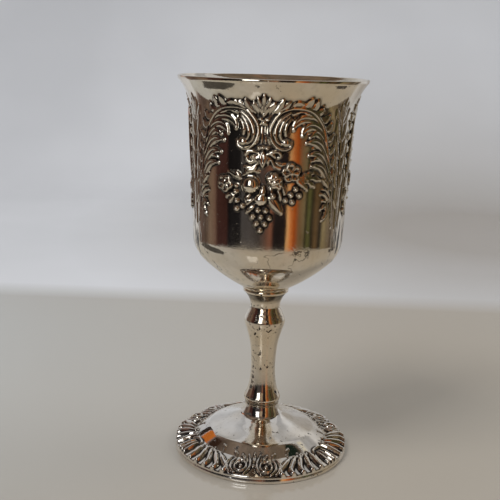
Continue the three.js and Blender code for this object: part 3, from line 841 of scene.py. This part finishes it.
def silver_plate(name, bright, worn, pitting, waviness, dullest, spotted, streaked):
    """Polished silver plate, yellower where worn, browned by painted shade over the chased relief, black in its
    recesses from tarnish and painted shade, and black in small pits.
    """
    make = Nodes(name)
    where = make.where()
    patches = make.span(make.noise(where, 45), 0.4, 0.66)
    colour = make.mix(patches, bright, worn)
    mottling = make.span(make.noise(where, 420, 4), 0.5, 0.8)
    colour = make.mix(make.sum("MULTIPLY", mottling, 0.25), colour, (0.34, 0.29, 0.22))
    tarnish_and_shade = make.add("ShaderNodeAttribute", attribute_name="tarnish_and_shade").outputs["Fac"]
    # Painted shade: worked relief is tinted towards a darker copy of the worn colour.
    colour = make.mix(make.span(tarnish_and_shade, 0.04, 0.28, 0, 0.6), colour, tuple(0.6 * value for value in worn))
    uneven = make.span(make.noise(where, 260, 3), 0.3, 0.7, 0.65, 1.05)
    recess = make.sum("MULTIPLY", tarnish_and_shade, uneven)
    spots = make.span(make.noise(where, 700, 2), pitting, pitting + 0.05)
    cluster = make.span(make.noise(where, 90, 2), 0.46, 0.6)
    pits = make.sum("MULTIPLY", spots, cluster)
    pits = make.sum("MAXIMUM", pits, make.blemishes(where, spotted))
    if streaked:
        pits = make.sum("MAXIMUM", pits, make.stains(where))
    # Recesses go black from tarnish and painted shade; pits and stains add black of their own.
    dark = make.sum("MAXIMUM", make.span(recess, 0.3, 0.72), pits)
    make.link(make.mix(dark, colour, (0.014, 0.010, 0.008)), make.shader.inputs["Base Color"])
    smear = make.span(make.noise(where, 60, 4), 0.35, 0.8, 0.35 * dullest, dullest)
    make.link(make.sum("ADD", smear, make.sum("MULTIPLY", dark, 0.2)), make.shader.inputs["Roughness"])
    make.link(make.span(dark, 0, 1, 1, 0.8), make.shader.inputs["Metallic"])
    normal = make.bump(make.noise(where, 85, 1), waviness, 0.0012)
    normal = make.bump(make.noise(where, 1500, 3), 0.06, 0.0002, normal)
    normal = make.bump(make.sum("SUBTRACT", 1.0, pits), 0.25, 0.0002, normal)
    make.link(normal, make.shader.inputs["Normal"])
    return make.material


# Each piece's bright and worn colour, where its pits start, its waviness and its dullest roughness.
PLATES = {
    "bowl": ((0.90, 0.83, 0.72), (0.84, 0.74, 0.58), 0.7, 0.06, 0.1),
    "stem": ((0.91, 0.82, 0.69), (0.83, 0.71, 0.53), 0.6, 0.16, 0.2),
    "foot": ((0.92, 0.88, 0.82), (0.85, 0.77, 0.65), 0.66, 0.08, 0.1),
}


# Stage


def table_material():
    """A pale glossy table with a painted pool of light at the back left, and the white drape behind it with a
    painted shadow, dimmer and warmer, low on the right.
    """
    make = Nodes("pale_floor")
    where = make.where()
    position = make.split(where)
    tone = make.span(make.noise(where, 4, 2), 0.3, 0.7)
    table = make.mix(tone, (0.38, 0.345, 0.29), (0.35, 0.31, 0.255))
    # Painted light: a paler pool on the table to the back left of the cup.
    painted_light_pool = make.span(make.apart(where, (-0.3, 0.1, 0)), 0.1, 0.34, 1, 0)
    table = make.mix(painted_light_pool, table, (0.42, 0.42, 0.40))
    folds = make.span(make.noise(where, 3, 3), 0.3, 0.7)
    drape = make.mix(folds, (0.68, 0.685, 0.70), (0.58, 0.585, 0.60))
    # Painted shadow: the drape dimmer and warmer low on the right.
    painted_shadow = make.span(make.apart(where, (0.22, 0.5, 0)), 0.1, 0.42, 0.9, 0)
    drape = make.mix(painted_shadow, drape, (0.27, 0.235, 0.19))
    behind = make.span(position["Y"], 0.215, 0.25)
    make.link(make.mix(behind, table, drape), make.shader.inputs["Base Color"])
    make.shader.inputs["Roughness"].default_value = 0.1
    make.shader.inputs["IOR"].default_value = 1.55
    return make.material


def stage_mesh(name, points, faces, material):
    mesh = bpy.data.meshes.new(name)
    mesh.from_pydata(points, [], faces)
    mesh.materials.append(material)
    piece = bpy.data.objects.new(name, mesh)
    bpy.context.scene.collection.objects.link(piece)
    return piece


def make_floor():
    """A pale glossy table that ends in front of the cup and sweeps up behind it."""
    front, back, bend, top, half = -0.37, 0.62, 0.25, 1.6, 2.2
    line = [(front, 0.0), (back, 0.0)]
    for step in range(1, 13):
        angle = math.pi / 2 * step / 12
        line.append((back + bend * math.sin(angle), bend * (1 - math.cos(angle))))
    line.append((back + bend, top))
    points = [(side * half, y, z) for y, z in line for side in (-1, 1)]
    faces = [(2 * i, 2 * i + 1, 2 * i + 3, 2 * i + 2) for i in range(len(line) - 1)]
    floor = stage_mesh("floor", points, faces, table_material())
    floor.data.shade_smooth()
    return floor


# The dim room that the polished wall mirrors: an azimuth in degrees, right of the camera, and a colour.
ROOM = [
    (-124, 0.30, 0.28, 0.27), (-118, 0.13, 0.09, 0.08), (-104, 0.12, 0.085, 0.07),
    (-92, 0.17, 0.12, 0.09), (-82, 0.14, 0.085, 0.065), (-78, 0.055, 0.025, 0.022),
    (-62, 0.06, 0.026, 0.022), (-58, 0.012, 0.011, 0.012), (-40, 0.014, 0.013, 0.014),
    (-38, 0.075, 0.07, 0.072), (-14, 0.055, 0.047, 0.046), (-8, 0.08, 0.055, 0.048),
    (-3, 0.11, 0.058, 0.042), (3, 0.20, 0.085, 0.055), (8, 0.016, 0.012, 0.012),
    (24, 0.014, 0.01, 0.01), (27, 0.55, 0.30, 0.13), (31, 0.45, 0.16, 0.05),
    (37, 0.30, 0.06, 0.008), (43, 0.16, 0.09, 0.045), (51, 0.14, 0.11, 0.06),
    (54, 0.020, 0.017, 0.010), (58, 0.09, 0.09, 0.035), (64, 0.022, 0.018, 0.012),
    (71, 0.11, 0.07, 0.035), (80, 0.018, 0.016, 0.014), (86, 0.20, 0.16, 0.09),
    (98, 0.17, 0.13, 0.09), (104, 0.06, 0.045, 0.035), (109, 0.26, 0.22, 0.18),
    (114, 0.10, 0.08, 0.065), (120, 0.42, 0.38, 0.34),
]
CEILING_END = math.radians(106)  # right of this the room has a wall and no ceiling


def make_room():
    """A dim screen and ceiling round the front of the table, which only the metal's reflections see."""
    profile = ((0.335, 0.0005), (0.335, 0.2), (0.3, 0.3), (0.24, 0.38), (0.14, 0.42), (0.01, 0.43))
    make = Nodes("dim_room")
    where = make.where()
    position = make.split(where)
    backwards = make.sum("MULTIPLY", position["Y"], -1.0)
    angle = make.sum("ARCTAN2", position["X"], backwards)
    ramp = make.add("ShaderNodeValToRGB")
    make.link(make.span(angle, -math.pi, math.pi), ramp.inputs[0])
    while len(ramp.color_ramp.elements) < len(ROOM):
        ramp.color_ramp.elements.new(0.5)
    for element, (azimuth, *colour) in zip(ramp.color_ramp.elements, ROOM):
        element.position = 0.5 + azimuth / 360
        element.color = (*colour, 1)
    blotches = make.span(make.noise(where, 9, 4), 0.3, 0.7, 0.55, 1.25)
    shade = make.add("ShaderNodeVectorMath", operation="SCALE")
    upper = make.span(position["Z"], 0.26, 0.4, 0, 0.85)
    make.link(make.mix(upper, ramp.outputs["Color"], (0.165, 0.128, 0.10)), shade.inputs[0])
    make.link(blotches, shade.inputs["Scale"])
    make.show(make.glow(shade.outputs[0]))
    azimuths = np.radians(np.linspace(ROOM[0][0], ROOM[-1][0], 90))
    points = [(r * math.sin(a), -r * math.cos(a), z) for a in azimuths for r, z in profile]
    rows = len(profile)
    faces = [
        (i * rows + j, (i + 1) * rows + j, (i + 1) * rows + j + 1, i * rows + j + 1)
        for i in range(len(azimuths) - 1)
        for j in range(rows - 1 if azimuths[i] < CEILING_END else 1)
    ]
    mirrored_only(stage_mesh("room_screen", points, faces, make.material))


def mirrored_only(card):
    """Leaves a card to be seen in reflections and nowhere else."""
    card.visible_camera = False
    card.visible_diffuse = False
    card.visible_shadow = False
    card.visible_transmission = False


# Glowing cards round the cup that only the metal's reflections see, painted reflections of things and shade in
# the room: corners in millimetres and a colour.
CARDS = {
    "dark_left": (
        [(-143, 35, 60), (-135, 8, 60), (-103, -38, 60), (-74, -44, 60), (-62, -36, 60), (-88, 10, 60),
         (-108, 40, 60)],
        (0.085, 0.08, 0.075),
    ),
    "dark_right": (
        [(92, 10, 60), (118, 12, 60), (135, 45, 60), (128, 60, 60), (100, 40, 60)],
        (0.08, 0.07, 0.065),
    ),
    "lit_front": ([(-62, -293, 92), (31, -298, 92), (29, -290, 250), (-58, -285, 250)], (0.36, 0.27, 0.19)),
    "shade_left": (
        [(-275, 362, 109), (-313, 323, 161), (-286, 289, 246), (-257, 337, 183)],
        (0.03, 0.02, 0.015),
    ),
    "shade_beside": (
        [(-203, 107, 136), (-201, 57, 172), (-172, 45, 203), (-182, 93, 172)],
        (0.035, 0.018, 0.012),
    ),
    "lamp_left": ([(-226, 217, 120), (-254, 162, 155), (-232, 135, 208), (-209, 199, 171)], (0.55, 0.16, 0.03)),
    "green_right": ([(140, -30, 250), (200, -10, 190), (215, 40, 205), (130, 20, 270)], (0.012, 0.02, 0.014)),
    "pale_right": ([(200, 45, 170), (220, 70, 180), (205, 90, 235), (180, 60, 240)], (0.75, 0.72, 0.62)),
}


def make_shade():
    """A soft grey shape behind the cup on the right, mirrored on top of the foot."""
    make = Nodes("back_shade")
    centre = Vector((180, 400, 165)) * MM
    blend = make.add("ShaderNodeMixShader")
    make.link(make.span(make.apart(make.where(), centre), 0.07, 0.17, 1, 0), blend.inputs[0])
    make.link(make.add("ShaderNodeBsdfTransparent").outputs[0], blend.inputs[1])
    make.link(make.glow((0.35, 0.335, 0.32)), blend.inputs[2])
    make.show(blend.outputs[0])
    half = 0.18
    corners = ((-1, -0.8), (1, -0.8), (1, 1), (-1, 1))
    points = [(centre.x + x * half, centre.y, centre.z + z * half) for x, z in corners]
    mirrored_only(stage_mesh("card_back_shade", points, [(0, 1, 2, 3)], make.material))


def make_cards():
    for name, (corners, colour) in CARDS.items():
        make = Nodes(name)
        uneven = make.span(make.noise(make.where(), 14, 3), 0.3, 0.7)
        shade = tuple(0.6 * value for value in colour)
        make.show(make.glow(make.mix(uneven, colour, shade)))
        points = [(x * MM, y * MM, z * MM) for x, y, z in corners]
        mirrored_only(stage_mesh(f"card_{name}", points, [tuple(range(len(points)))], make.material))


def make_window():
    """A tall bright window to the left of the camera, for the highlights."""
    radius, low, high = 0.29, 0.095, 0.29
    make = Nodes("window_light")
    make.show(make.glow((0.95, 0.97, 1), 4.0))
    azimuths = np.radians((-33, -25, -16))
    points = [(radius * math.sin(a), -radius * math.cos(a), z) for a in azimuths for z in (low, high)]
    faces = [(0, 2, 3, 1), (2, 4, 5, 3)]
    mirrored_only(stage_mesh("window_card", points, faces, make.material))


def make_lights():
    world = bpy.data.worlds.new("studio")
    bpy.context.scene.world = world
    world.use_nodes = True
    background = world.node_tree.nodes["Background"]
    background.inputs["Color"].default_value = (0.80, 0.81, 0.84, 1)
    background.inputs["Strength"].default_value = 0.62
    for name, place, size, power in (
        ("key", (-0.55, -0.45, 1.15), 0.45, 9.0),
        ("fill", (0.9, 0.3, 1.0), 0.8, 5.0),
    ):
        light = bpy.data.lights.new(name, "AREA")
        light.size = size
        light.energy = power
        lamp = bpy.data.objects.new(name, light)
        lamp.location = place
        lamp.visible_glossy = False
        lamp.rotation_euler = (Vector((0, 0, 0.1)) - Vector(place)).to_track_quat("-Z", "Y").to_euler()
        bpy.context.scene.collection.objects.link(lamp)


def make_camera():
    """Stands a little above the rim and looks slightly down."""
    place = Vector((0, -353.7, 171.6)) * MM
    pitch, yaw, roll = (math.radians(angle) for angle in (13.12, -1.19, 1.8))
    ahead = Vector((math.sin(yaw) * math.cos(pitch), math.cos(yaw) * math.cos(pitch), -math.sin(pitch)))
    level = Vector((math.cos(yaw), -math.sin(yaw), 0))
    upright = level.cross(ahead)
    right = level * math.cos(roll) + upright * math.sin(roll)
    up = upright * math.cos(roll) - level * math.sin(roll)
    data = bpy.data.cameras.new("camera")
    data.sensor_width = 36
    data.lens = 61.2
    data.clip_start = 0.01
    camera = bpy.data.objects.new("camera", data)
    camera.matrix_world = Matrix.Translation(place) @ Matrix((right, up, -ahead)).transposed().to_4x4()
    bpy.context.scene.collection.objects.link(camera)
    bpy.context.scene.camera = camera


def main():
    make_camera()
    make_floor()
    make_room()
    make_window()
    make_cards()
    make_shade()
    make_lights()
    plates = {
        node: silver_plate(f"{node}_silver", *look, STAINS[node], streaked=node == "bowl")
        for node, look in PLATES.items()
    }
    for node, make in (("bowl", make_bowl), ("stem", make_stem), ("foot", make_foot)):
        piece = make()
        piece.data.materials.append(plates[node])
        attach(piece, "root")
        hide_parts(node)
    bpy.context.scene.view_settings.view_transform = "Standard"


main()
